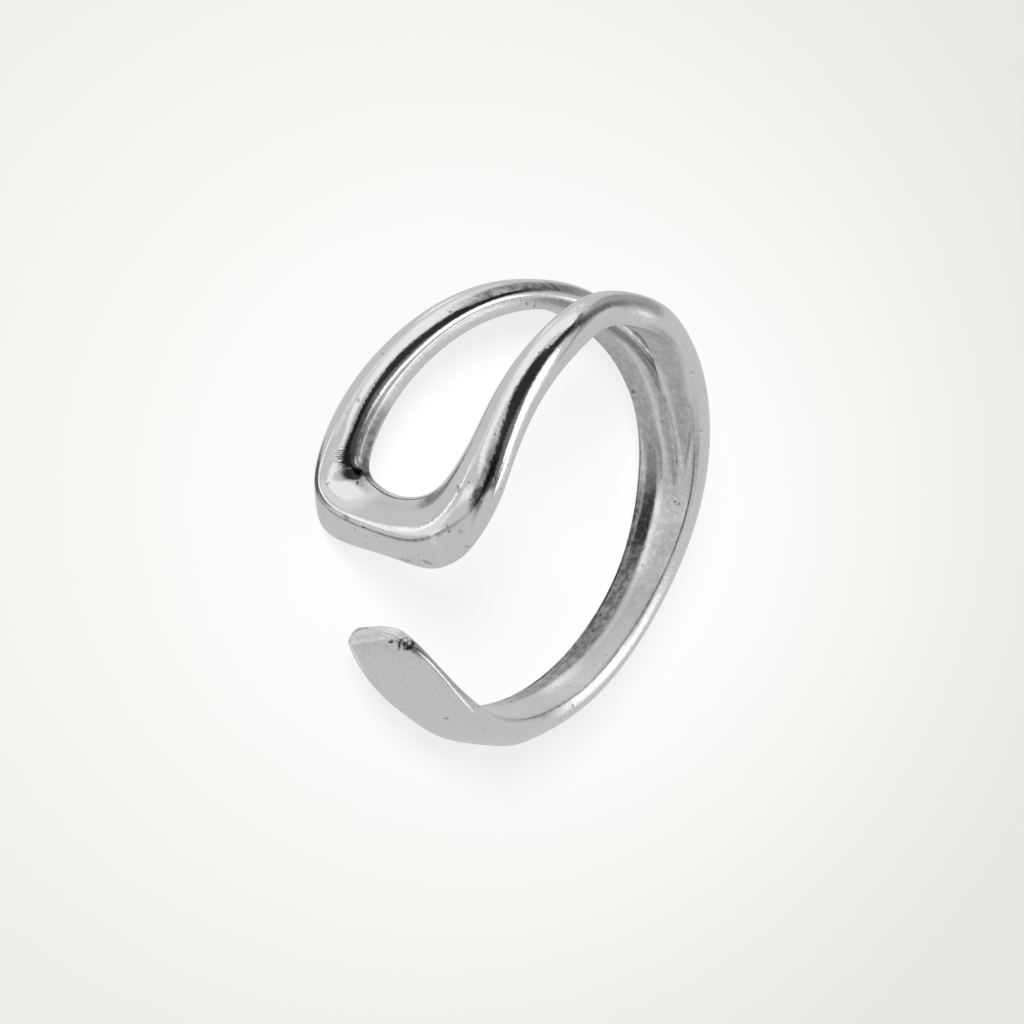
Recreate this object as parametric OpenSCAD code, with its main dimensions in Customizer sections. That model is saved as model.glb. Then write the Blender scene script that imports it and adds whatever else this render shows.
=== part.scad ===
// Open wrap ring, one cast piece of silver-plated brass.
// A wire leaves the front in a long closed loop. Its two legs run side by side
// over the finger and merge at the back, and the single band that follows
// comes round underneath and ends in a flat, slightly twisted paddle.
// The finger axis is +Z and the origin is the middle of the finger hole.
// Angles start at the loop's closed end, on -X, and run over +Y to +X.
// Sizes are in millimetres and degrees.

/* [Finger hole] */
// Diameter of the finger hole
finger_d = 17; // [15:0.5:20]
// Height of the side wall between the hole and the wire's widest line
wall_h = 0.6; // [0.5:0.05:0.7]

/* [Loop] */
// Width of the far leg
far_leg_w = 1.95; // [1.75:0.05:2.15]
// Width of the near leg
near_leg_w = 1.65; // [1.5:0.05:1.85]
// Height of the rounded top above the side wall, on the far leg
far_crown = 0.6; // [0.5:0.05:0.8]
// Height of the rounded top above the side wall, on the near leg
near_crown = 0.75; // [0.6:0.05:0.9]
// Height of the ridge above the side wall, at the loop's closed end
end_crown = 1.3; // [1.1:0.05:1.4]
// Height of the thin lip along the slot, at the loop's closed end
lip_h = 0.25; // [0.15:0.05:0.4]

/* [Band] */
// Width of the single band behind and under the finger
band_w = 2.8; // [2.6:0.05:3]
// Height of the rounded top above the side wall, on the band
band_crown = 0.8; // [0.6:0.05:0.9]

/* [Paddle] */
// Greatest width of the paddle
paddle_w = 3.35; // [3.1:0.05:3.6]
// Depth of the paddle below its widest line
paddle_depth = 0.4; // [0.35:0.05:0.5]
// Height of the paddle's face above its widest line
paddle_rise = 0.5; // [0.4:0.05:0.6]
// Greatest twist of the paddle's face towards the near side
paddle_twist = 37; // [20:1:38]
// Angle over which the paddle's blunt tip is rounded
tip_angle = 2.5; // [1:0.5:4]

/* [Smoothness] */
// Steps along the loop
loop_steps = 120; // [80:4:128]
// Steps along the band and the paddle
band_steps = 56; // [40:2:60]

/* [Hidden] */

bore_r = finger_d / 2;
bore_len = 40;
// The tables are drawn on a sheet that is wrapped round at this radius
sheet_r = bore_r + wall_h;
// Heights in the tables count up from the far edge of the band's inside.
// The middle of the finger hole lies this far above it.
middle_h = 3.4;
// Depth of a section below its widest line, before the hole is cut
keel = 1.5;
// How square a section is: 2 is an ellipse, and the paddle is nearly a box
crown_power = 1.8;
keel_power = 2;
flat_power = 4;
// Share of the half width over which the slot's lip is rounded
lip_round = 0.15;

// Points round a section: over its top, and back along its inner side
TOP = 12;
UNDER = 8;
SIDES = TOP + UNDER;
// The ridge is this point of the top, at this angle on a plain section
RIDGE_AT = 8;
PLAIN = 120;

// Columns of the table for the band, from the legs to the paddle's tip:
// angle, middle height, half spread of the two wires, width of one wire
ANGLE = 0;
MIDDLE = 1;
SPREAD = 2;
WIDTH = 3;
// radius of the widest line, height above it and depth below it
RADIUS = 4;
CROWN = 5;
KEEL = 6;
// twist, how far the section is a box, lean of the inner groove to the near side
TWIST = 7;
SQUARE = 8;
LEAN = 9;
BAND = [
    [95, 2.65, 2.35, 1.65, sheet_r, near_crown + 0.05, keel, 0, 0, 0],
    [110, 2.45, 1.65, 1.80, sheet_r, near_crown + 0.1, 1.30, 0, 0, 0],
    [125, 2.20, 1.15, 2.10, sheet_r, 0.95, 1.05, 0, 0, 0],
    [140, 1.85, 0.90, 2.15, sheet_r, 1.00, 0.90, 0, 0, 0.15],
    [155, 1.50, 0.85, 2.05, sheet_r, 0.95, 0.85, 0, 0, 0.40],
    [170, 1.25, 0.60, 2.25, sheet_r, 0.80, 0.95, 0, 0, 0.45],
    [190, 1.05, 0.15, 2.45, sheet_r, 0.75, 1.30, 0, 0, 0.25],
    [210, 1.00, 0, 2.65, sheet_r - 0.05, band_crown, keel, 0, 0, 0],
    [230, 1.20, 0, band_w, sheet_r - 0.05, band_crown, keel, 0, 0, 0],
    [250, 1.50, 0, band_w, sheet_r + 0.05, 0.75, keel, 5, 0, 0],
    [265, 2.10, 0, 2.95, sheet_r + 0.15, 0.70, 1.15, 7, 0.35, 0],
    [280, 2.75, 0, 3.15, sheet_r + 0.1, 0.60, 0.60, 18, 0.85, 0],
    [292, 2.95, 0, paddle_w, sheet_r, paddle_rise, paddle_depth, 18, 1, 0],
    [312.5, 2.40, 0, 3.05, sheet_r + 0.2, 0.45, 0.35, paddle_twist, 1, 0],
    [318.5, 1.30, 0, 1.80, sheet_r + 0.25, 0.30, paddle_depth, 28, 1, 0]
];

// Columns of the table for the loop, from the far leg round to the near leg:
// angle and height of the outer edge, angle and height of the slot's edge
EDGE_ANGLE = 0;
EDGE_H = 1;
SLOT_ANGLE = 2;
SLOT_H = 3;
// radius, crown and keel as above, how far the top is dished, where its ridge is
DISH = 7;
RIDGE = 8;
LOOP = [
    [80, -0.70, 80, -0.70 + far_leg_w, sheet_r, far_crown - 0.1, keel, 0, PLAIN],
    [65, -0.60, 65, -0.60 + far_leg_w, sheet_r, far_crown, keel, 0, PLAIN],
    [50, -0.80, 50, -0.80 + far_leg_w, sheet_r, far_crown, keel, 0, PLAIN],
    [35, -1.00, 35, -1.00 + far_leg_w, sheet_r, far_crown + 0.05, keel, 0, PLAIN],
    [20, -1.25, 20, -1.25 + far_leg_w, sheet_r, 0.80, keel, 0.15, 125],
    [8, -1.30, 8, 0.60, sheet_r, 1.00, keel, 0.5, 132],
    [-7, -1.25, 1, 0.60, sheet_r - 0.05, 1.20, keel, 1, 115],
    [-17, -1.45, -2, 1.20, sheet_r - 0.15, end_crown, keel, 1, 85],
    [-20.5, 0.05, -4, 2.15, sheet_r - 0.2, end_crown, keel, 1, 78],
    [-20, 2.75, -4.5, 3.30, sheet_r - 0.2, end_crown - 0.05, keel, 1, 95],
    [-22, 5.75, -3, 4.60, sheet_r - 0.2, 1.10, keel, 1, 99],
    [-13.5, 7.45, 1, 5.60, sheet_r - 0.15, 0.85, keel, 1, 107],
    [-1.5, 8.40, 7, 6.10, sheet_r - 0.1, 0.55, keel, 0.8, 170],
    [8, 8.45, 14, 6.30, sheet_r - 0.05, 0.50, keel, 0.3, 150],
    [20, 8.25, 20, 6.35, sheet_r, near_crown - 0.1, keel, 0.05, 125],
    [34, 7.95, 34, 7.85 - near_leg_w, sheet_r, near_crown, keel, 0, PLAIN],
    [50, 7.50, 50, 7.50 - near_leg_w, sheet_r, near_crown, keel, 0, PLAIN],
    [65, 6.60, 65, 6.60 - near_leg_w, sheet_r, near_crown - 0.05, keel, 0, PLAIN],
    [80, 5.65, 80, 5.65 - near_leg_w, sheet_r, near_crown - 0.05, keel, 0, PLAIN]
];

// Rows shared by the loop and the band, so that both follow the same curve
SHARED = 5;

// Row of a table on a smooth cubic B-spline at place t, counted in rows.
// The first and last rows are reached exactly.
function row_at(rows, t) =
    let (
        last = len(rows) - 1,
        i = min(floor(t), last - 1),
        f = t - i,
        before = i > 0 ? rows[i - 1] : 2 * rows[0] - rows[1],
        after = i < last - 1 ? rows[i + 2] : 2 * rows[last] - rows[last - 1]
    )
    (pow(1 - f, 3) * before
        + (3 * pow(f, 3) - 6 * pow(f, 2) + 4) * rows[i]
        + (-3 * pow(f, 3) + 3 * pow(f, 2) + 3 * f + 1) * rows[i + 1]
        + pow(f, 3) * after) / 6;

// Signed power, which turns a circle's cosine and sine into a squarer curve
function signed_pow(x, p) = sign(x) * pow(abs(x), p);

// Point of the wrapped sheet from an angle, a height and a radius
function wrapped(angle, h, r) = [-r * cos(angle), r * sin(angle), h - middle_h];

// Place where the two wires meet, found by halving the interval
function gap_at(t) =
    let (row = row_at(BAND, t))
    row[SPREAD] - row[WIDTH] / 2;
function meeting_place(low, high, left) =
    let (middle = (low + high) / 2)
    left == 0 ? middle
        : gap_at(middle) > 0 ? meeting_place(middle, high, left - 1)
        : meeting_place(low, middle, left - 1);
MEET = meeting_place(0, SHARED, 24);

// One wire of the band as a row of the loop's table: side -1 is the far wire
function wire_row(row, side) =
    let (
        angle = row[ANGLE],
        middle = row[MIDDLE] + side * row[SPREAD],
        half = side * row[WIDTH] / 2
    )
    [angle, middle + half, angle, middle - half, row[RADIUS], row[CROWN], row[KEEL], 0, PLAIN];

WIRE = concat(
    [for (i = [SHARED - 1:-1:0]) wire_row(BAND[i], -1)],
    LOOP,
    [for (i = [0:SHARED - 1]) wire_row(BAND[i], 1)]
);
WIRE_START = SHARED - 1 - MEET;
WIRE_END = len(WIRE) - 1 - WIRE_START;

// Angle of point j on a section: from the slot edge over the ridge and round
function side_angle(j, ridge) =
    j <= RIDGE_AT ? ridge * j / RIDGE_AT
        : j <= TOP ? ridge + (180 - ridge) * (j - RIDGE_AT) / (TOP - RIDGE_AT)
        : 180 + 180 * (j - TOP) / UNDER;

// Height of the dished top: a lip at the slot, a hollow, the ridge, a facet
function dished(x, ridge_x, crown) =
    let (
        from_slot = (1 - x) / (1 - ridge_x),
        on_lip = min((1 - x) / lip_round, 1),
        lip = lip_h * sqrt(1 - pow(1 - on_lip, 2)),
        rise = pow(from_slot, 2) * (3 - 2 * from_slot)
    )
    x >= ridge_x ? lip + (crown - lip_h) * rise
        : crown * (1 + x) / (1 + ridge_x);

// Point of a section: share of the half width, and height over the widest line
function loop_point(j, row) =
    let (
        a = side_angle(j, row[RIDGE]),
        on_top = j <= TOP,
        x = signed_pow(cos(a), 2 / (on_top ? crown_power : keel_power)),
        ridge_x = signed_pow(cos(row[RIDGE]), 2 / crown_power),
        round = on_top ? row[CROWN] * pow(max(sin(a), 0), 2 / crown_power)
            : -row[KEEL] * pow(max(-sin(a), 0), 2 / keel_power),
        hollow = on_top ? dished(x, ridge_x, row[CROWN]) : round
    )
    [x, (1 - row[DISH]) * round + row[DISH] * hollow];

// One section of the loop, between the outer edge and the slot's edge
function loop_section(row) =
    [for (j = [0:SIDES - 1])
        let (p = loop_point(j, row), share = (p[0] + 1) / 2)
        wrapped(
            row[EDGE_ANGLE] + (row[SLOT_ANGLE] - row[EDGE_ANGLE]) * share,
            row[EDGE_H] + (row[SLOT_H] - row[EDGE_H]) * share,
            row[RADIUS] + p[1]
        )
    ];

// Point j of one wire of the band, its angles narrowed by the other wire
function band_point(j, row, groove) =
    let (
        on_top = j <= TOP,
        a = on_top ? groove + (180 - groove) * j / TOP
            : 180 + (180 - groove) * (j - TOP) / UNDER,
        plain = on_top ? crown_power : keel_power,
        power = 2 / (plain * (1 - row[SQUARE]) + flat_power * row[SQUARE]),
        height = on_top ? row[CROWN] : row[KEEL]
    )
    [signed_pow(cos(a), power) * row[WIDTH] / 2, signed_pow(sin(a), power) * height];

// Point of the inner side, moved to the near side most where the wires touch
function leaned(p, row) =
    let (half = max(row[SPREAD], 0) + row[WIDTH] / 2)
    p[1] < 0 ? [p[0] + row[LEAN] * (pow(half, 2) - pow(p[0], 2)) / half, p[1]] : p;

// Narrowing of the paddle at its tip
TIP = BAND[len(BAND) - 1][ANGLE];
function tip_scale(angle) =
    let (past = max(0, angle - (TIP - tip_angle)) / tip_angle)
    sqrt(max(1 - pow(past, 2), 0.01));

// One section of the band: the far wire's points, then the near wire's
function band_section(row) =
    let (
        spread = max(row[SPREAD], 0),
        groove = acos(min(spread / (row[WIDTH] / 2), 1)),
        far = [for (j = [0:SIDES - 1])
            let (p = band_point(j, row, groove)) [p[0] - spread, p[1]]],
        near = [for (j = [SIDES:-1:1])
            let (p = band_point(j, row, groove)) [spread - p[0], p[1]]],
        twist = row[TWIST]
    )
    [for (p = concat(far, near))
        let (
            q = leaned(p, row) * tip_scale(row[ANGLE]),
            across = q[0] * cos(twist) + q[1] * sin(twist),
            out = q[1] * cos(twist) - q[0] * sin(twist)
        )
        wrapped(row[ANGLE], row[MIDDLE] + across, row[RADIUS] + out)
    ];

// Steps along the band close up towards the tip
function band_place(i) =
    MEET + (len(BAND) - 1 - MEET) * (1 - pow(1 - i / band_steps, 1.5));

// All sections: the loop's, and the band's after the place where wires meet
LOOP_POINTS = [for (i = [0:loop_steps])
    each loop_section(row_at(WIRE, WIRE_START + (WIRE_END - WIRE_START) * i / loop_steps))];
BAND_POINTS = [for (i = [1:band_steps])
    each band_section(row_at(BAND, band_place(i)))];
BAND_FIRST = (loop_steps + 1) * SIDES;
BAND_SIDES = 2 * SIDES;

// Number of a point. Where the wires meet, their touching points are one.
function loop_index(i, j) =
    (i == loop_steps && j % SIDES == 0) ? 0 : i * SIDES + j % SIDES;
function band_index(i, j) =
    let (k = j % BAND_SIDES)
    i > 0 ? BAND_FIRST + (i - 1) * BAND_SIDES + k
        : k < SIDES ? loop_index(0, k)
        : loop_index(loop_steps, BAND_SIDES - k);

// Two triangles for each four-sided patch of the skin
function patch(a, b, c, d) = [[a, c, b], [a, d, c]];

LOOP_FACES = [for (i = [0:loop_steps - 1], j = [0:SIDES - 1])
    each patch(loop_index(i, j), loop_index(i, j + 1),
        loop_index(i + 1, j + 1), loop_index(i + 1, j))];
BAND_FACES = [for (i = [0:band_steps - 1], j = [0:BAND_SIDES - 1])
    each patch(band_index(i, j + 1), band_index(i, j),
        band_index(i + 1, j), band_index(i + 1, j + 1))];
TIP_FACE = [for (j = [1:BAND_SIDES - 2])
    [band_index(band_steps, 0), band_index(band_steps, j), band_index(band_steps, j + 1)]];

// The whole ring, with the finger hole cut true
module ring_band() {
    color([0.78, 0.78, 0.77])
        difference() {
            polyhedron(
                points = concat(LOOP_POINTS, BAND_POINTS),
                faces = concat(LOOP_FACES, BAND_FACES, TIP_FACE),
                convexity = 8
            );
            cylinder(r = bore_r, h = bore_len, center = true, $fn = 180);
        }
}

ring_band();
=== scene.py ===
import bpy
import math
import numpy as np
from mathutils import Matrix, Vector


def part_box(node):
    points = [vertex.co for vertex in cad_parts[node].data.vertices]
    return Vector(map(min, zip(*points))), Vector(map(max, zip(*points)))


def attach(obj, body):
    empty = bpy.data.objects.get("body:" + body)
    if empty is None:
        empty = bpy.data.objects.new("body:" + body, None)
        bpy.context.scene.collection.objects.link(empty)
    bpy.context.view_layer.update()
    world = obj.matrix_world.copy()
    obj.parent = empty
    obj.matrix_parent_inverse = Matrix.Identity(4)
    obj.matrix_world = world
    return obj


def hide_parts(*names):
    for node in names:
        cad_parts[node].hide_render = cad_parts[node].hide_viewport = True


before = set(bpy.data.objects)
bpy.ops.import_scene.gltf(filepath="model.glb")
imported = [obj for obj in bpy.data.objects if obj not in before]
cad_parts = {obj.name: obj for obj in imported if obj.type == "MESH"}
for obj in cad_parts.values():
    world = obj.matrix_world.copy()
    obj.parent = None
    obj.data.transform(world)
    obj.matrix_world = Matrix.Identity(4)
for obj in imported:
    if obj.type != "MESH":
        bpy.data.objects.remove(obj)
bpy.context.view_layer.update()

# The wire loop over the finger: two legs of round wire that meet in a blunt end with
# a dished top. It belongs to one casting of brass, filed to shape, silver plated and
# polished by hand.

# Lengths are in millimetres and angles in degrees until the mesh is made. An angle
# goes round the finger from the loop's closed end, and a height goes up the finger.
bore_r = 8.5
sheet_r = bore_r + 0.6
middle_h = 3.4
keel = 1.5
far_leg_w = 1.95
near_leg_w = 1.65
far_crown = 0.6
near_crown = 0.75
end_crown = 1.3
crown_power = 1.8
plain_ridge = 120

# The dished top: height and width of the lip round the slot, the share next to the
# ridge where the top falls again, and how far and how bluntly it falls
lip_h = 0.25
lip_round = 0.15
shoulder_share = 0.15
shoulder_fall = 1.6
fall_power = 1.5

# Angle and height of the outer edge, angle and height of the slot's edge,
# radius, crown, keel, how far the top is dished, angle of its ridge, and how
# flat the facet beyond the ridge is
loop_rows = np.array([
    [80, -0.70, 80, -0.70 + far_leg_w, sheet_r, far_crown - 0.1, keel, 0, plain_ridge, 0],
    [65, -0.60, 65, -0.60 + far_leg_w, sheet_r, far_crown, keel, 0, plain_ridge, 0],
    [50, -0.80, 50, -0.80 + far_leg_w, sheet_r, far_crown, keel, 0, plain_ridge, 0],
    [35, -1.00, 35, -1.00 + far_leg_w, sheet_r, far_crown + 0.05, keel, 0, plain_ridge, 0],
    [20, -1.25, 20, -1.25 + far_leg_w, sheet_r, 0.80, keel, 0, 140, 0.2],
    [8, -1.30, 8, 0.70, sheet_r + 0.15, 0.80, keel, 0, 140, 0.5],
    [-7, -1.35, 1, 0.70, sheet_r, 1.05, keel, 0.4, 118, 0.8],
    [-16.7, -1.20, -2, 1.20, sheet_r - 0.1, end_crown, keel, 1, 92, 0.85],
    [-20.5, 0.05, -4, 2.15, sheet_r - 0.2, end_crown, keel, 1, 89, 0.95],
    [-20, 2.75, -4.5, 3.30, sheet_r - 0.2, end_crown - 0.05, keel, 1, 97, 1],
    [-22, 5.75, -3, 4.60, sheet_r - 0.2, 1.10, keel, 0.9, 100, 1],
    [-13.5, 7.45, 1, 5.60, sheet_r - 0.15, 0.95, keel, 0.6, 117, 1],
    [-1.5, 8.40, 7, 6.10, sheet_r - 0.1, 0.80, keel, 0.3, 152, 0.7],
    [8, 8.45, 14, 6.30, sheet_r - 0.17, 0.80, keel, 0.1, 150, 0],
    [20, 8.25, 20, 6.35, sheet_r - 0.05, near_crown - 0.1, keel, 0, 140, 0.2],
    [34, 7.95, 34, 7.85 - near_leg_w, sheet_r, near_crown, keel, 0, plain_ridge, 0],
    [50, 7.50, 50, 7.50 - near_leg_w, sheet_r, near_crown, keel, 0, plain_ridge, 0],
    [65, 6.60, 65, 6.60 - near_leg_w, sheet_r, near_crown - 0.05, keel, 0, plain_ridge, 0],
    [80, 5.65, 80, 5.65 - near_leg_w, sheet_r, near_crown - 0.05, keel, 0, plain_ridge, 0],
])
# How far the near leg's outer shoulder is filed flat, by the angle of its edge, and
# where across the leg the flat starts
shoulder_bevel = ((-14, 0), (-6, 0.45), (10, 0.5), (22, 0.3), (40, 0))
bevel_from = -0.2

# Ridges on the finger side at the back, as angle, height and strength: where
# the far wire turns flat, and both sides of the V between the wires
inner_ridges = (
    ((95, 1.75, 0), (108, 1.72, 1), (122, 1.72, 1), (132, 1.6, 1), (144, 1.42, 1),
     (152, 1.5, 0.8), (162, 1.47, 0)),
    ((116, 3.0, 0), (122, 2.85, 1), (130, 2.6, 1), (143, 2.3, 1), (152, 2.35, 0.8),
     (157, 2.45, 0)),
    ((104, 5.2, 0), (114, 4.9, 1), (125, 4.25, 1), (135, 3.8, 1), (147, 3.25, 1),
     (153, 2.9, 0.6), (158, 2.8, 0)),
)
ridge_h = 0.07
ridge_w = 0.13
# Where those ridges stand over filed hollows, as angle and strength
hollow_depth = ((88, 0), (108, 1), (150, 1), (185, 0))
# Bevel along the far edge of the band's inside, as angle, height and strength
far_bevel = ((130, 1.2, 0), (160, 1.1, 1), (168, 1.05, 1), (180, 0.95, 1), (190, 0.92, 1),
             (203, 0.92, 1), (217, 0.88, 1), (235, 0.9, 1), (250, 1.0, 0.7), (268, 1.3, 0))
far_drop = 0.17
far_reach = 0.8
far_power = 1.2
# The inside falls away to the near edge too, from a little above that bevel
near_drop = 0.07
near_from = 0.45
near_reach = 1.2
near_power = 1.4
drop_limit = 1.3

# Across a wire, places go from 1 at the slot to -1 at the outer edge. In each pair
# below, a mark starts at the first number and is full at the second.

# Painted shade in the slot's lower corner, by the angle of the slot's edge, its
# width from that edge, and how deep down the wall it goes
slot_shade = ((-4, 0), (-2, 0.9), (6, 0.9), (13, 0.72), (20, 0))
slot_shade_ends = (0.46, 0.34)
slot_shade_down = -0.55
# Painted dark reflections on the legs, by the angle of the outer edge: a band on the
# far leg's top and a line along the near leg's outer shoulder; and painted shade in
# the groove where they meet
leg_band = ((46, 0), (60, 1), (84, 1), (96, 0))
band_slot_end = (0.93, 0.87)
band_outer_end = (0.35, 0.5)
leg_line = ((46, 0), (56, 1), (72, 0.8), (92, 0))
line_slot_end = (-0.72, -0.82)
line_outer_end = (-0.95, -0.91)
leg_groove = ((92, 0), (104, 0.7))
groove_depth = (-0.1, -0.02)
groove_ends = (0.5, 0.3)
# A painted dark reflection: a dark wedge above the near end of the ridge, as angle of
# the edge, place across the leg that it reaches up to, and strength
ridge_wedge = ((-8, -0.87, 0), (-3, -0.72, 0.9), (1, -0.5, 0.95), (8, -0.45, 0.95), (16, -0.4, 0))
wedge_slot_width = 0.1
wedge_outer_end = (-0.91, -0.87)
# The ridge carries a painted dark line, painted shade in its crease. It is dark where
# its facet is at least this flat, and fully so where the top is dished this far
ridge_facet = 2 / 7
ridge_dish = 2 / 3
# Small dark spots, as angle, height, half length up the finger, half width and
# strength
dark_spots = (
    (-1.8, 0.86, 0.37, 0.26, 2.2),
    (-5, 5.12, 0.2, 0.08, 0.5),
    (-19.8, 4.0, 0.3, 0.07, 0.6),
    (-18.5, 5.45, 0.22, 0.09, 0.7),
    (-11.6, 1.65, 0.22, 0.1, 0.8),
    (-8.5, 7.43, 0.07, 0.07, 0.6),
    (-12.2, 7.42, 0.06, 0.06, 0.5),
    (-44.1, 2.55, 0.1, 0.06, 1.2),
    (-45.2, 2.86, 0.05, 0.2, 1.3),
    (-45.7, 3.03, 0.04, 0.18, 1.3),
    (-46.3, 3.16, 0.14, 0.07, 1.4),
)
# The dark spots show on the outside and down the walls as far as this
spot_down = -0.5
# Painted shade: the hollows between the inner ridges are painted grey, by angle. The
# grey leaves the ridges clear over this width, and ends this far up the walls.
hollow_shade_grey = ((85, 0), (100, 0.5), (150, 0.5), (172, 0))
grey_w = 0.2
grey_up = (0.3, 0.2)
# How satin the finger side and the plain wire are, and the near leg towards the back,
# by angle
inside_satin = 0.9
wire_satin = 0.15
leg_satin = ((55, 0), (80, 0.7))

# Points over the top of a wire and under it, the point that lies on the ridge, and
# points on the fine curve that the under side is read from
top_points = 42
ridge_point = 28
under_points = 40
fine_points = 161
side_points = top_points + under_points
# The file rounds the edge between the wall and the inside over this width. Points lie
# closer together near that edge, by this much and within this distance.
edge_round = 0.05
edge_extra = 3
edge_reach = 0.12


def signed_power(x, p):
    return np.sign(x) * np.abs(x) ** p


def ramp(value, start, end):
    # From 0 at the start to 1 at the end, which may be the smaller of the two
    return np.clip((value - start) / (end - start), 0, 1)


def at_angle(table, angle, column=1):
    # A column of a table that is laid out by angle, read between its rows
    columns = np.array(table, float).T
    return np.interp(angle, columns[0], columns[column])


def near_ridge(row, angle, h, width):
    off = (h - at_angle(row, angle)) / width
    return at_angle(row, angle, 2) * np.exp(-off ** 2)


def clear_of_finger(r):
    depth = r - bore_r
    return bore_r + 0.5 * (depth + np.sqrt(depth ** 2 + edge_round ** 2))


def finger_side(angle, h, r):
    # The inside as it was left by the file: flats with low ridges between them
    smooth = clear_of_finger(r)
    inside = (smooth - r) / (smooth - r + edge_round)
    low = ridge_h * at_angle(hollow_depth, angle)
    for row in inner_ridges:
        low = low - ridge_h * near_ridge(row, angle, h, ridge_w)
    border = at_angle(far_bevel, angle)
    strength = at_angle(far_bevel, angle, 2)
    far = np.clip((border - h) / far_reach, 0, drop_limit) ** far_power
    near = np.clip((h - border - near_from) / near_reach, 0, drop_limit) ** near_power
    low = low + strength * far_drop * far + strength * near_drop * near
    return smooth + inside * low


def even_under(across, out, radius, count):
    # Points closer together where the wall turns into the round inside
    cut = clear_of_finger(radius + out)
    step = np.hypot(np.diff(across), np.diff(cut))
    near = np.exp(-(((radius + out - bore_r)[1:] / edge_reach) ** 2))
    travel = np.concatenate([[0], np.cumsum(step * (1 + edge_extra * near) + 1e-9)])
    want = np.linspace(0, travel[-1], count + 1)
    return np.interp(want, travel, across), np.interp(want, travel, out)


def wrapped(angle, h, r):
    a = np.radians(angle)
    return np.stack([-r * np.cos(a), r * np.sin(a), h - middle_h + 0 * r], -1)


def dark_spot_marks(angle, h):
    marks = 0 * h
    for spot_a, spot_h, half_length, half_width, strength in dark_spots:
        across = np.radians(angle - spot_a) * sheet_r / half_width
        along = (h - spot_h) / half_length
        marks = np.maximum(marks, strength * np.exp(-(across ** 2 + along ** 2) ** 2))
    return marks


def hollow_shade(angle, h, r):
    # Painted shade: the hollows between the low ridges are painted greyer than the ridges
    grey = at_angle(hollow_shade_grey, angle) * ramp(r - bore_r, *grey_up)
    for row in inner_ridges:
        grey = grey * (1 - near_ridge(row, angle, h, grey_w))
    return grey


def wire_section(row):
    edge_a, edge_h, slot_a, slot_h, radius, crown, depth, dish, ridge, facet = row
    near_leg = edge_h > middle_h

    # Over the top, x goes from 1 at the slot to -1 at the outer edge
    point = np.arange(top_points + 1)
    over = np.where(point <= ridge_point, ridge * point / ridge_point,
                    ridge + (180 - ridge) * (point - ridge_point) / (top_points - ridge_point))
    over = np.radians(over)
    x = signed_power(np.cos(over), 2 / crown_power)
    dome = crown * np.maximum(np.sin(over), 0) ** (2 / crown_power)
    if near_leg:
        bevel = at_angle(shoulder_bevel, edge_a)
        flat = np.interp(bevel_from, x[::-1], dome[::-1]) * (1 + x) / (1 + bevel_from)
        dome = np.where(x < bevel_from, (1 - bevel) * dome + bevel * flat, dome)
    ridge_x = signed_power(np.cos(np.radians(ridge)), 2 / crown_power)
    to_ridge = np.clip((1 - x) / (1 - ridge_x), 0, 1)
    on_lip = np.minimum((1 - x) / lip_round, 1)
    rise = np.minimum(to_ridge / (1 - shoulder_share), 1)
    fall = shoulder_fall * np.maximum(to_ridge / (1 - shoulder_share) - rise, 0) ** fall_power
    hollow = (lip_h * np.sqrt(1 - (1 - on_lip) ** 2)
              + (crown - lip_h) * rise ** 2 * (3 - 2 * rise) - fall)
    top = (1 - dish) * dome + dish * hollow
    chord = top[ridge_point] * (1 + x) / (1 + ridge_x)
    top = np.where(x < ridge_x, (1 - facet) * top + facet * chord, top)

    # Under the wire and back to the slot
    width = math.hypot(math.radians(edge_a - slot_a) * radius, edge_h - slot_h)
    below = np.linspace(math.pi, 2 * math.pi, fine_points)
    under_x, under_out = even_under(np.cos(below) * width / 2, depth * np.sin(below),
                                    radius, under_points)
    x = np.concatenate([x, under_x[1:-1] * 2 / width])
    out = np.concatenate([top, under_out[1:-1]])
    share = (x + 1) / 2
    a = edge_a + (slot_a - edge_a) * share
    h = edge_h + (slot_h - edge_h) * share

    # Where shade and dark reflections are painted, and the dark spots
    from_slot = (1 - x) * width / 2
    on_top = out > 0
    dark = np.zeros(side_points)
    # Painted dark line along the ridge's crease
    dark[ridge_point] = ramp(facet, ridge_facet, 1) * ramp(dish, 0, ridge_dish)
    dark = np.maximum(dark, dark_spot_marks(a, h) * (out > spot_down))
    if near_leg:
        # Painted dark reflection along the near leg's outer shoulder
        line = ramp(x, *line_outer_end) * ramp(x, *line_slot_end) * on_top
        dark = np.maximum(dark, line * at_angle(leg_line, edge_a))
        # Painted dark reflection in a wedge above the ridge's near end
        wedge_top = at_angle(ridge_wedge, edge_a)
        wedge = ramp(x, *wedge_outer_end) * ramp(x, wedge_top, wedge_top - wedge_slot_width) * on_top
        dark = np.maximum(dark, wedge * at_angle(ridge_wedge, edge_a, 2))
    else:
        # Painted shade down the slot's wall
        wall = ramp(from_slot, *slot_shade_ends) * (out > slot_shade_down)
        dark = np.maximum(dark, wall * at_angle(slot_shade, slot_a))
        # Painted dark reflection in a band on the far leg's top
        band = ramp(x, *band_outer_end) * ramp(x, *band_slot_end) * on_top
        dark = np.maximum(dark, band * at_angle(leg_band, edge_a))
    # Painted shade in the groove where the legs meet
    groove = ramp(out, *groove_depth) * ramp(from_slot, *groove_ends)
    dark = np.maximum(dark, groove * at_angle(leg_groove, edge_a))
    under = np.arange(side_points) > top_points
    # Painted shade in the hollows of the finger side
    dark = np.maximum(dark, under * hollow_shade(a, h, radius + out))

    back_satin = at_angle(leg_satin, edge_a) * near_leg
    past_ridge = np.arange(side_points) > ridge_point
    satin = np.where(past_ridge, max(facet, back_satin), max(wire_satin, back_satin))
    satin[under] = inside_satin
    return wrapped(a, h, finger_side(a, h, radius + out)), dark, satin


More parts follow.
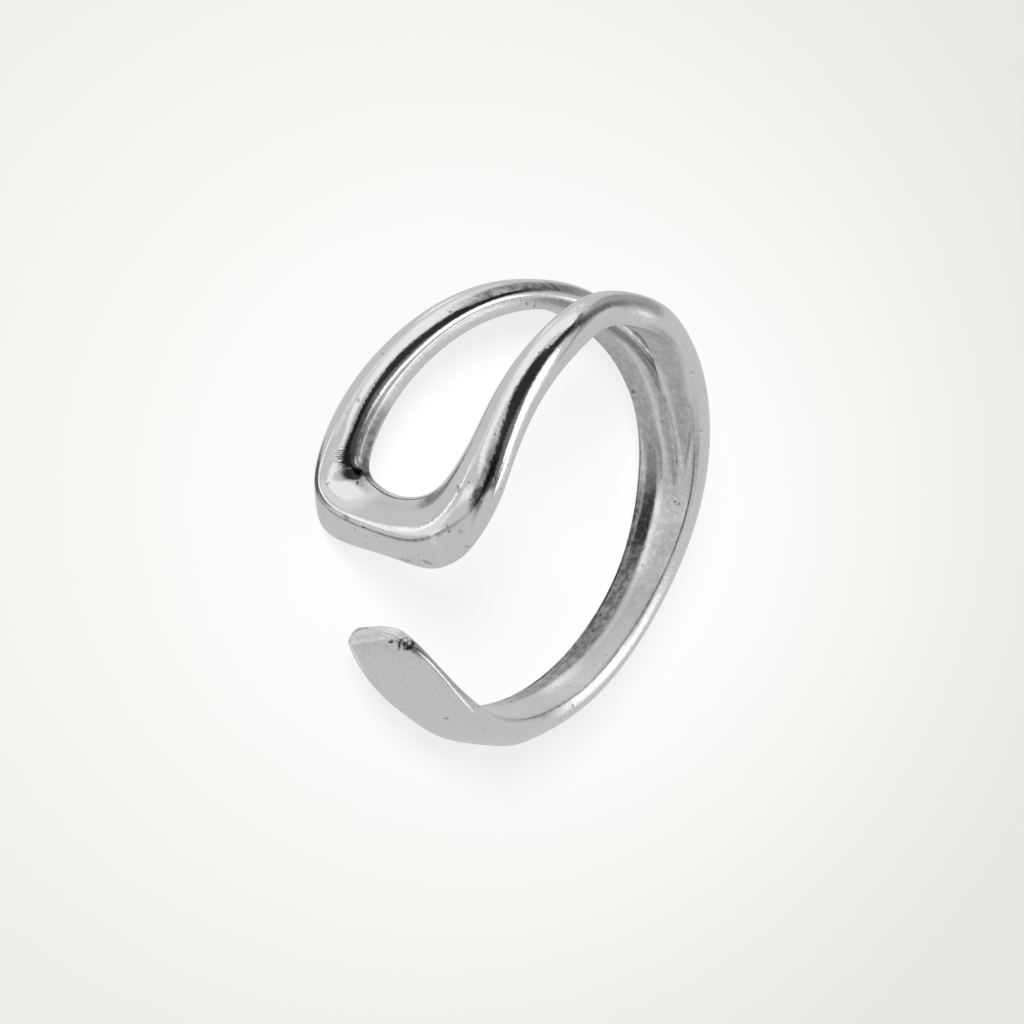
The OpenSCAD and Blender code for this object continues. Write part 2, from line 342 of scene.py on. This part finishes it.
# The single band behind and under the finger, and the paddle in which it ends. It is
# the same casting: the band is a half-round wire, and the paddle is beaten flat,
# twisted and left satin from the file.

band_w = 2.8
band_crown = 0.8
paddle_w = 3.35
paddle_rise = 0.5
paddle_depth = 0.4
paddle_twist = 37
keel_power = 2.0
flat_power = 7.0
# The degrees over which the tip is rounded, and the least share that it narrows to
tip_angle = 2.5
tip_least = 0.1

# Angle, middle height, half spread of the wires, width of one wire, radius,
# crown, keel, twist, squareness, lean of the inner groove
band_rows = np.array([
    [95, 2.65, 2.35, 1.65, sheet_r, near_crown + 0.05, keel, 0, 0, 0],
    [110, 2.45, 1.65, 1.80, sheet_r, near_crown + 0.1, 1.30, 0, 0, 0],
    [125, 2.20, 1.15, 2.10, sheet_r, 0.95, 1.05, 0, 0, 0],
    [140, 1.85, 0.90, 2.15, sheet_r, 1.00, 0.90, 0, 0, 0.15],
    [155, 1.50, 0.85, 2.05, sheet_r, 0.95, 0.85, 0, 0, 0.40],
    [170, 1.25, 0.60, 2.25, sheet_r, 0.80, 0.95, 0, 0, 0.45],
    [190, 1.05, 0.15, 2.45, sheet_r, 0.75, 1.30, 0, 0, 0.25],
    [210, 1.00, 0, 2.65, sheet_r - 0.05, band_crown, keel, 0, 0, 0],
    [230, 1.20, 0, band_w, sheet_r - 0.05, band_crown, keel, 0, 0, 0],
    [250, 1.50, 0, band_w, sheet_r + 0.05, 0.75, keel, 5, 0, 0],
    [265, 2.10, 0, 2.95, sheet_r + 0.15, 0.70, 1.15, 7, 0.2, 0],
    [280, 2.75, 0, 3.15, sheet_r + 0.1, 0.60, 0.60, 18, 0.7, 0],
    [292, 2.95, 0, paddle_w, sheet_r, paddle_rise, paddle_depth, 18, 1, 0],
    [312.5, 2.40, 0, 3.05, sheet_r + 0.2, 0.45, 0.35, paddle_twist, 1, 0],
    [318.5, 1.30, 0, 1.80, sheet_r + 0.25, 0.30, paddle_depth, 28, 1, 0],
])

# Painted shade and dark reflections by angle: painted shade in the crease along the
# near wall, a painted dark reflection on the bevel along the far edge, a painted grey
# reflection on the flat between them, and painted shade in the groove outside
near_crease = ((124, 0), (142, 0.5), (190, 0.8), (262, 0.6), (285, 0))
crease_inside_w = 0.25
crease_wall_w = 0.1
bevel_dark = ((152, 0), (172, 1), (215, 0.9), (245, 0.6), (265, 0))
bevel_edge = (0.125, -0.125)
bevel_up = 0.7
flat_grey = ((142, 0), (158, 0.4), (180, 0.4), (225, 0))
flat_edge = (0.25, 0.45)
flat_up = 0.05
band_groove = ((118, 0.7), (140, 0))
band_groove_w = 0.4
# How satin the inside and the outside of the band are
band_satin_in = ((130, 0.9), (165, 1.1), (200, 0.8), (240, 0.6))
band_satin_out = ((120, 0.7), (195, 0.1), (250, 0.2), (285, 1))


def band_section(row):
    angle, middle, spread, width, radius, crown, depth, twist, square, lean = row
    spread = max(spread, 0)
    groove = math.acos(min(spread / (width / 2), 1))
    half = spread + width / 2
    top_power = 2 / (crown_power * (1 - square) + flat_power * square)
    under_power = 2 / (keel_power * (1 - square) + flat_power * square)
    over = np.linspace(groove, math.pi, top_points + 1)
    x = signed_power(np.cos(over), top_power) * width / 2 - spread
    out = np.maximum(np.sin(over), 0) ** top_power * crown
    below = np.linspace(math.pi, 2 * math.pi - groove, fine_points)
    under_x = signed_power(np.cos(below), under_power) * width / 2 - spread
    under_out = -np.maximum(-np.sin(below), 0) ** under_power * depth
    past = max(0, angle - (band_rows[-1, 0] - tip_angle)) / tip_angle
    scale = math.sqrt(max(1 - past ** 2, tip_least ** 2))
    turn = math.radians(twist)

    def turned(px, py, inner):
        if inner:
            px = px + lean * (half ** 2 - px ** 2) / half
        px = px * scale
        py = py * scale
        return px * math.cos(turn) + py * math.sin(turn), py * math.cos(turn) - px * math.sin(turn)

    # The far wire's half and its mirror image, the near wire's
    far_x, far_out = even_under(*turned(under_x, under_out, True), radius, under_points)
    near_x, near_out = even_under(*turned(-under_x[::-1], under_out[::-1], True), radius, under_points)
    top_x, top_out = turned(x, out, False)
    side_x, side_out = turned(-x[::-1], out[::-1], False)
    across = np.concatenate([top_x, far_x[1:], near_x[1:], side_x[1:-1]])
    h = middle + across
    r = radius + np.concatenate([top_out, far_out[1:], near_out[1:], side_out[1:-1]])

    # Where shade and dark reflections are painted, inside and outside, and the dark spots outside
    from_top = np.arange(2 * side_points) - top_points
    inside = (from_top > 0) & (from_top < 2 * under_points)
    crease_w = np.where(r < bore_r, crease_inside_w, crease_wall_w)
    crease = np.exp(-((r - bore_r) / crease_w) ** 2) * (across > 0) * at_angle(near_crease, angle)
    from_border = h - at_angle(far_bevel, angle)
    strip = ramp(from_border, *bevel_edge) * at_angle(bevel_dark, angle) * (r < bore_r + bevel_up)
    grey = ramp(from_border, *flat_edge) * at_angle(flat_grey, angle) * (r < bore_r + flat_up)
    dark = inside * np.maximum(np.maximum(crease, strip), grey) + ~inside * dark_spot_marks(angle - 360, h)
    # Painted shade in the groove outside
    outer_groove = np.exp(-(across / band_groove_w) ** 2) * ramp(r - sheet_r, *groove_depth)
    dark = np.maximum(dark, outer_groove * at_angle(band_groove, angle))
    # Painted shade in the hollows of the finger side
    dark = np.maximum(dark, inside * hollow_shade(angle, h, r))

    satin = np.where(inside, at_angle(band_satin_in, angle), at_angle(band_satin_out, angle))
    return wrapped(angle, h, finger_side(angle, h, r)), dark, satin


# The whole ring as one skin. The first rows of the band table still are two wires, and
# the legs of the loop run into them. Where the wires touch, the skin goes over to the
# single band.

# Sections along the loop and the band, and how much closer they lie near the tip
loop_steps = 600
band_steps = 230
tip_crowding = 1.5
# Rows of the band table that both wires follow, and halvings in the search for the
# place where the wires touch
shared_rows = 5
halvings = 30


def row_on_curve(rows, t):
    # A smooth curve that the rows steer, as a cubic B-spline
    last = len(rows) - 1
    i = min(int(math.floor(t)), last - 1)
    f = t - i
    before = rows[i - 1] if i > 0 else 2 * rows[0] - rows[1]
    after = rows[i + 2] if i < last - 1 else 2 * rows[last] - rows[last - 1]
    return ((1 - f) ** 3 * before + (3 * f ** 3 - 6 * f ** 2 + 4) * rows[i]
            + (-3 * f ** 3 + 3 * f ** 2 + 3 * f + 1) * rows[i + 1] + f ** 3 * after) / 6


def wire_row(row, side):
    middle = row[1] + side * row[2]
    half = side * row[3] / 2
    return [row[0], middle + half, row[0], middle - half, row[4], row[5], row[6], 0, plain_ridge, 0]


low = 0.0
high = float(shared_rows)
for _ in range(halvings):
    meet = (low + high) / 2
    row = row_on_curve(band_rows, meet)
    if row[2] > row[3] / 2:
        low = meet
    else:
        high = meet
all_wire = np.array([wire_row(band_rows[i], -1) for i in range(shared_rows - 1, -1, -1)]
                    + [list(r) for r in loop_rows]
                    + [wire_row(band_rows[i], 1) for i in range(shared_rows)])
wire_from = shared_rows - 1 - meet
wire_to = len(all_wire) - 1 - wire_from

loop_sections = [wire_section(row_on_curve(all_wire, t))
                 for t in np.linspace(wire_from, wire_to, loop_steps + 1)]
band_sections = []
for i in range(1, band_steps + 1):
    place = meet + (len(band_rows) - 1 - meet) * (1 - (1 - i / band_steps) ** tip_crowding)
    band_sections.append(band_section(row_on_curve(band_rows, place)))


def joined(part):
    return np.concatenate([section[part] for section in loop_sections + band_sections])


def lay_of(sections):
    # How far each point is along the wire and round it, in millimetres
    grid = np.array([section[0] for section in sections])
    step = np.linalg.norm(np.diff(grid, axis=0), axis=2).mean(axis=1)
    along = np.concatenate([[0], np.cumsum(step)])[:, None] + np.zeros(grid.shape[1])
    turn = np.linalg.norm(np.diff(grid, axis=1), axis=2)
    around = np.concatenate([np.zeros((len(grid), 1)), np.cumsum(turn, axis=1)], axis=1)
    return np.stack([along, around, 0 * around], -1).reshape(-1, 3)


band_first = (loop_steps + 1) * side_points
band_round = 2 * side_points


def loop_at(i, j):
    j %= side_points
    return 0 if i == loop_steps and j == 0 else i * side_points + j


def band_at(i, j):
    j %= band_round
    if i > 0:
        return band_first + (i - 1) * band_round + j
    return loop_at(0, j) if j < side_points else loop_at(loop_steps, band_round - j)


faces = [(loop_at(i, j), loop_at(i, j + 1), loop_at(i + 1, j + 1), loop_at(i + 1, j))
         for i in range(loop_steps) for j in range(side_points)]
faces += [(band_at(i, j + 1), band_at(i, j), band_at(i + 1, j), band_at(i + 1, j + 1))
          for i in range(band_steps) for j in range(band_round)]
faces += [tuple(band_at(band_steps, j) for j in range(band_round))]

ring_mesh = bpy.data.meshes.new("polished_ring")
ring_mesh.from_pydata([tuple(p) for p in joined(0) * 0.001], [], faces)
ring_mesh.validate()
ring_mesh.update()
ring_mesh.polygons.foreach_set("use_smooth", [True] * len(ring_mesh.polygons))
# Painted shade and dark reflections in edges and creases together with dark spots, how
# satin the finish is, and how far along the wire and round it each point lies
ring_mesh.attributes.new("painted_shade_and_spots", "FLOAT", "POINT").data.foreach_set("value", joined(1))
ring_mesh.attributes.new("satin", "FLOAT", "POINT").data.foreach_set("value", joined(2))
lay = np.concatenate([lay_of(loop_sections), lay_of(band_sections)])
ring_mesh.attributes.new("lay", "FLOAT_VECTOR", "POINT").data.foreach_set("vector", lay.ravel())
ring = bpy.data.objects.new("polished_ring", ring_mesh)
bpy.context.scene.collection.objects.link(ring)


# The finish of the plating: fine random grain and short cross strokes from the
# polishing wheel, satin flats where the file was used last, painted shade and dark
# reflections in the edges, mottled by blotches, and a few small pits.

# Grains, patches, blotches and pits in a metre, and where in its noise each one starts
# and is full
grain_fineness = 9000
patch_fineness = 900
blotch_fineness = 3200
pit_fineness = 2600
patch_span = (0.35, 0.7)
blotch_span = (0.35, 0.6)
pit_span = (0.735, 0.76)
# Strokes in a millimetre along the wire and round it, and how they lean
stroke_fineness = (9, 2.2, 1)
stroke_lean = 35
# Height of patches and pits against the grain's, and of it all on bright and on satin
patch_height = 1.6
pit_height = -0.8
height_range = (0.55, 1.1)
# How rough bright metal is, how much rougher satin metal is, and how dark blotches,
# speckles and pits are
bright_rough = (0.05, 0.11)
satin_rough = (0.1, 0.2)
blotch_dark = (0.5, 0.82)
speckle_dark = (0, 0.12)
pit_dark = 0.4
finish = bpy.data.node_groups.new("polished_finish", "ShaderNodeTree")
for name, kind in (("PaintedShadeAndSpots", "Float"), ("Satin", "Float"), ("Lay", "Vector")):
    finish.interface.new_socket(name, in_out="INPUT", socket_type="NodeSocket" + kind)
for name in ("Height", "Roughness", "Darkness"):
    finish.interface.new_socket(name, in_out="OUTPUT", socket_type="NodeSocketFloat")
marks = finish.nodes.new("NodeGroupInput").outputs
result = finish.nodes.new("NodeGroupOutput").inputs
on_part = finish.nodes.new("ShaderNodeTexCoord").outputs["Object"]


def noise(fineness, detail, vector):
    node = finish.nodes.new("ShaderNodeTexNoise")
    node.inputs["Scale"].default_value = fineness
    node.inputs["Detail"].default_value = detail
    finish.links.new(vector, node.inputs["Vector"])
    return node.outputs["Fac"]


def spread_out(value, given, wanted):
    node = finish.nodes.new("ShaderNodeMapRange")
    for name, size in zip(("From Min", "From Max", "To Min", "To Max"), given + wanted):
        node.inputs[name].default_value = size
    finish.links.new(value, node.inputs["Value"])
    return node.outputs[0]


def combined(operation, *values):
    node = finish.nodes.new("ShaderNodeMath")
    node.operation = operation
    for socket, value in zip(node.inputs, values):
        if isinstance(value, (int, float)):
            socket.default_value = value
        else:
            finish.links.new(value, socket)
    return node.outputs[0]


strokes_place = finish.nodes.new("ShaderNodeMapping")
strokes_place.inputs["Rotation"].default_value = (0, 0, math.radians(stroke_lean))
strokes_place.inputs["Scale"].default_value = stroke_fineness
finish.links.new(marks["Lay"], strokes_place.inputs["Vector"])
grain = noise(grain_fineness, 3, on_part)
patches = noise(patch_fineness, 4, on_part)
strokes = noise(1, 2, strokes_place.outputs["Vector"])
pits = spread_out(noise(pit_fineness, 1, on_part), pit_span, (0, 1))

height = combined("MULTIPLY_ADD", patches, patch_height, grain)
height = combined("ADD", strokes, height)
height = combined("MULTIPLY_ADD", pits, pit_height, height)
height = combined("MULTIPLY", height, spread_out(marks["Satin"], (0, 1), height_range))

rough = combined("MULTIPLY", marks["Satin"], spread_out(patches, patch_span, satin_rough))
rough = combined("ADD", spread_out(patches, patch_span, bright_rough), rough)

# Painted shade and dark reflections, mottled by blotches
blotches = spread_out(noise(blotch_fineness, 3, on_part), blotch_span, blotch_dark)
mottled = combined("MULTIPLY", marks["PaintedShadeAndSpots"], blotches)
speckle = combined("MULTIPLY", marks["Satin"], spread_out(grain, patch_span, speckle_dark))
darkness = combined("ADD", mottled, speckle)
darkness = combined("MULTIPLY_ADD", pits, pit_dark, darkness)
for value, name in ((height, "Height"), (rough, "Roughness"), (darkness, "Darkness")):
    finish.links.new(value, result[name])

# The metal itself, and the colour of the painted shade and dark reflections in its edges. The relief
# is given in metres.
clean_silver = (0.88, 0.876, 0.868, 1)
painted_shade_colour = (0.05, 0.048, 0.046, 1)
relief_strength = 0.6
relief_depth = 0.00001
silver = bpy.data.materials.new("silver_plate")
silver.use_nodes = True
tree = silver.node_tree
shader = tree.nodes["Principled BSDF"]
shader.inputs["Metallic"].default_value = 1.0
surface = tree.nodes.new("ShaderNodeGroup")
surface.node_tree = finish
for name, socket, output in (("painted_shade_and_spots", "PaintedShadeAndSpots", "Fac"), ("satin", "Satin", "Fac"),
                             ("lay", "Lay", "Vector")):
    mark = tree.nodes.new("ShaderNodeAttribute")
    mark.attribute_name = name
    tree.links.new(mark.outputs[output], surface.inputs[socket])
metal = tree.nodes.new("ShaderNodeMix")
metal.data_type = "RGBA"
metal.inputs["A"].default_value = clean_silver
metal.inputs["B"].default_value = painted_shade_colour
bump = tree.nodes.new("ShaderNodeBump")
bump.inputs["Strength"].default_value = relief_strength
bump.inputs["Distance"].default_value = relief_depth
tree.links.new(surface.outputs["Darkness"], metal.inputs["Factor"])
tree.links.new(metal.outputs["Result"], shader.inputs["Base Color"])
tree.links.new(surface.outputs["Roughness"], shader.inputs["Roughness"])
tree.links.new(surface.outputs["Height"], bump.inputs["Height"])
tree.links.new(bump.outputs["Normal"], shader.inputs["Normal"])
ring.data.materials.append(silver)
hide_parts("ring_band")
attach(ring, "root")

# The table: a sheet of smooth white plastic with painted light: it glows a little,
# which fills its shadows. The ring lies on it on its side. A painted pool of light
# makes it whitest under the ring, turning a warmer grey towards its edges.
sheet_reach = 0.6
sheet_middle = (0.0035, -0.0002)
sheet_glow = 0.775
# How far out the painted pool of light goes, in metres, and how much a step counts along X, Y and Z
painted_pool_reach = 0.032
painted_pool_steps = (0.7, 1, 1)
painted_pool_tones = ((0.0, (1.0, 1.0, 1.0)), (0.2, (0.98, 0.98, 0.974)), (0.4, (0.93, 0.925, 0.91)),
         (0.62, (0.865, 0.857, 0.833)), (0.8, (0.825, 0.817, 0.783)), (1.0, (0.79, 0.782, 0.745)))
plastic = (0.22, 0.22, 0.22, 1)
floor_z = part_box("ring_band")[0][2]
floor_mesh = bpy.data.meshes.new("white_sheet")
floor_mesh.from_pydata([(-sheet_reach, -sheet_reach, 0), (sheet_reach, -sheet_reach, 0),
                        (sheet_reach, sheet_reach, 0), (-sheet_reach, sheet_reach, 0)],
                       [], [(0, 1, 2, 3)])
floor = bpy.data.objects.new("white_sheet", floor_mesh)
floor.location = (*sheet_middle, floor_z)
bpy.context.scene.collection.objects.link(floor)
sheet = bpy.data.materials.new("white_sheet")
sheet.use_nodes = True
tree = sheet.node_tree
shader = tree.nodes["Principled BSDF"]
shader.inputs["Roughness"].default_value = 0.9
shader.inputs["Specular IOR Level"].default_value = 0.0
shader.inputs["Emission Strength"].default_value = sheet_glow
on_sheet = tree.nodes.new("ShaderNodeTexCoord")
squash = tree.nodes.new("ShaderNodeVectorMath")
squash.operation = "MULTIPLY"
squash.inputs[1].default_value = painted_pool_steps
away = tree.nodes.new("ShaderNodeVectorMath")
away.operation = "LENGTH"
spread = tree.nodes.new("ShaderNodeMapRange")
spread.inputs["From Max"].default_value = painted_pool_reach
shade = tree.nodes.new("ShaderNodeValToRGB")
for k, (at, tone) in enumerate(painted_pool_tones):
    stop = shade.color_ramp.elements[k] if k < 2 else shade.color_ramp.elements.new(at)
    stop.position = at
    stop.color = (*tone, 1)
white = tree.nodes.new("ShaderNodeMix")
white.data_type = "RGBA"
white.blend_type = "MULTIPLY"
white.inputs["Factor"].default_value = 1
white.inputs["B"].default_value = plastic
tree.links.new(on_sheet.outputs["Object"], squash.inputs[0])
tree.links.new(squash.outputs["Vector"], away.inputs[0])
tree.links.new(away.outputs["Value"], spread.inputs["Value"])
tree.links.new(spread.outputs[0], shade.inputs["Fac"])
tree.links.new(shade.outputs["Color"], shader.inputs["Emission Color"])
tree.links.new(shade.outputs["Color"], white.inputs["A"])
tree.links.new(white.outputs["Result"], shader.inputs["Base Color"])
floor.data.materials.append(sheet)
floor.visible_glossy = False

# The lamp and the room: one large soft lamp in a pale room, high up on the side where
# the loop's closed end points.
room_white = (1, 0.998, 0.99, 1)
room_glow = 0.6
lamp_size = 0.16
lamp_power = 2.9
lamp_place = (-0.40, 0.145, 0.33)
world = bpy.data.worlds.new("pale_room")
bpy.context.scene.world = world
world.use_nodes = True
world.node_tree.nodes["Background"].inputs["Color"].default_value = room_white
world.node_tree.nodes["Background"].inputs["Strength"].default_value = room_glow

lamp_data = bpy.data.lights.new("soft_lamp", "AREA")
lamp_data.shape = "DISK"
lamp_data.size = lamp_size
lamp_data.energy = lamp_power
lamp = bpy.data.objects.new("soft_lamp", lamp_data)
lamp.location = lamp_place
lamp.rotation_euler = (Vector((0, 0, 0)) - lamp.location).to_track_quat("-Z", "Y").to_euler()
lamp.visible_glossy = False
bpy.context.scene.collection.objects.link(lamp)

# The cards: strips of white, grey and black card that stand round the ring at about
# half a metre. Only its polish mirrors them, as the long light and dark streaks on
# the wires.

# Each card's name, distance in metres and glow, and then rows along it: compass angle
# from the loop's closed end, and its low and high edge over the horizon there
cards = (
    ("black_card", 0.47, 0.03, [
        (-38, 28, 34), (-20, 28, 37), (0, 30, 40), (4, 30, 46), (14, 31, 46), (21, 30, 46),
        (30, 28, 46), (36, 22, 40), (40, 16, 42), (50, 12, 42), (57, 13, 42), (68, 12, 42),
        (76, 11, 42), (82, 12, 41), (88, 18, 39), (96, 17, 36), (104, 14, 31), (112, 9, 25),
        (116, 9, 20), (119, 12, 16)]),
    ("dark_card", 0.5, 0.17, [
        (-25, 18, 40), (-10, 14, 60), (0, 10, 86), (3, 10, 86), (4, 28, 86), (9, 30, 86),
        (14, 30, 84), (20, 30, 80), (26, 28, 76), (31, 25, 72), (34, 22, 69), (40, 18, 64),
        (45, 11, 62), (52, 8, 58), (70, 10, 50), (80, 9, 46), (86, 15, 44), (92, 17, 42),
        (102, 12, 36), (112, 8, 31), (115, -4, 29), (120, -3, 25), (126, 8, 22), (130, 16, 19)]),
    ("top_card", 0.52, 0.25, [(0, 76, 90), (120, 76, 90), (240, 76, 90), (360, 76, 90)]),
    ("under_card", 0.52, 0.2, [
        (-90, -90, -71), (0, -90, -72), (50, -90, -84), (130, -90, -84), (200, -90, -74),
        (270, -90, -71)]),
    ("front_under_card", 0.515, 0.1, [
        (-75, -90, -60), (-50, -90, -50), (-20, -90, -49), (2, -90, -48), (8, -90, -62),
        (14, -90, -76)]),
    ("high_white_card", 0.48, 1.3, [
        (46, 58, 68), (58, 60, 74), (68, 56, 73), (78, 48, 73), (92, 45, 74), (104, 39, 74),
        (115, 35, 72), (130, 38, 68), (142, 40, 66), (155, 39, 62), (165, 38, 60), (172, 38, 60),
        (178, 46, 68), (192, 48, 64)]),
    ("low_white_card", 0.49, 0.92, [
        (-8, -14, 6), (2, -14, 7), (4, 14, 27), (16, 8, 24), (24, -4, 14), (35, -10, 9),
        (45, -14, 8), (60, -24, 6), (76, -30, 4), (96, -26, 4), (102, -22, 9), (112, -16, 9),
        (114, -8, 2)]),
    ("pale_card", 0.51, 0.75, [
        (14, -34, -14), (40, -34, -14), (60, -36, -22), (100, -36, -26), (120, -34, -14)]),
    ("end_pale_card", 0.505, 0.82, [(-50, -36, -16), (-30, -44, -14), (-8, -50, -14)]),
    ("crest_card", 0.505, 0.36, [
        (124, -8, 16), (132, -22, 16), (140, -26, 24), (147, 0, 28), (154, 18, 28), (164, 26, 30)]),
    ("front_white_card", 0.49, 1.1, [(-30, -46, -39), (0, -47, -37), (14, -46, -38), (22, -44, -42)]),
    ("side_white_card", 0.49, 0.95, [(84, -47, -45), (90, -48, -41), (96, -50, -41), (115, -55, -42)]),
    ("back_dark_card", 0.51, 0.28, [
        (-105, -72, -70), (-80, -72, -56), (-60, -72, -52), (-42, -72, -54), (-30, -72, -66)]),
    ("back_glint_card", 0.5, 1.0, [(-80, -14, -13), (-68, -20, -11), (-50, -22, -8), (-38, -15, -12)]),
)
card_white = (1, 1, 0.99, 1)
# Strips between two rows of a card, and strips up its height
card_strips = 12
card_rises = 6
for name, far, glow, rows in cards:
    table = np.array(rows, float)
    spots = np.linspace(0, len(rows) - 1, card_strips * (len(rows) - 1) + 1)
    az, low_edge, high_edge = (np.radians(np.interp(spots, range(len(rows)), column))
                               for column in table.T)
    verts = []
    squares = []
    line = card_rises + 1
    for i in range(len(spots)):
        for k in range(line):
            el = low_edge[i] + (high_edge[i] - low_edge[i]) * k / card_rises
            verts.append((-far * math.cos(el) * math.cos(az[i]), far * math.cos(el) * math.sin(az[i]),
                          far * math.sin(el)))
            if i and k:
                corner = line * i + k
                squares.append((corner, corner - 1, corner - 1 - line, corner - line))
    mesh = bpy.data.meshes.new(name)
    mesh.from_pydata(verts, [], squares)
    card = bpy.data.objects.new(name, mesh)
    bpy.context.scene.collection.objects.link(card)
    paint = bpy.data.materials.new(name)
    paint.use_nodes = True
    body = paint.node_tree.nodes["Principled BSDF"]
    body.inputs["Base Color"].default_value = (0, 0, 0, 1)
    body.inputs["Specular IOR Level"].default_value = 0
    body.inputs["Roughness"].default_value = 1
    body.inputs["Emission Color"].default_value = card_white
    body.inputs["Emission Strength"].default_value = glow
    mesh.materials.append(paint)
    card.visible_camera = False
    card.visible_diffuse = False
    card.visible_shadow = False

# The camera: it looks down on the ring's near side from the loop's closed end, at the
# photograph's angle and nearness, turned a little on its own axis.
look_down = math.radians(45.95)
roll = math.radians(14.66)
camera_place = Vector((-0.0980, -0.00015, 0.09224))
camera_data = bpy.data.cameras.new("camera")
camera_data.sensor_width = 36
camera_data.lens = 113.8
camera_data.clip_start = 0.001
camera = bpy.data.objects.new("camera", camera_data)
bpy.context.scene.collection.objects.link(camera)
toward = Vector((-math.sin(look_down), 0, math.cos(look_down)))
level = Vector((math.cos(look_down), 0, math.sin(look_down)))
sideways = Vector((0, -1, 0))
right = math.cos(roll) * level - math.sin(roll) * sideways
down = math.sin(roll) * level + math.cos(roll) * sideways
camera_turn = Matrix((right, -down, toward)).transposed().to_4x4()
camera_turn.translation = camera_place
camera.matrix_world = camera_turn
bpy.context.scene.camera = camera
bpy.context.scene.view_settings.view_transform = "Standard"
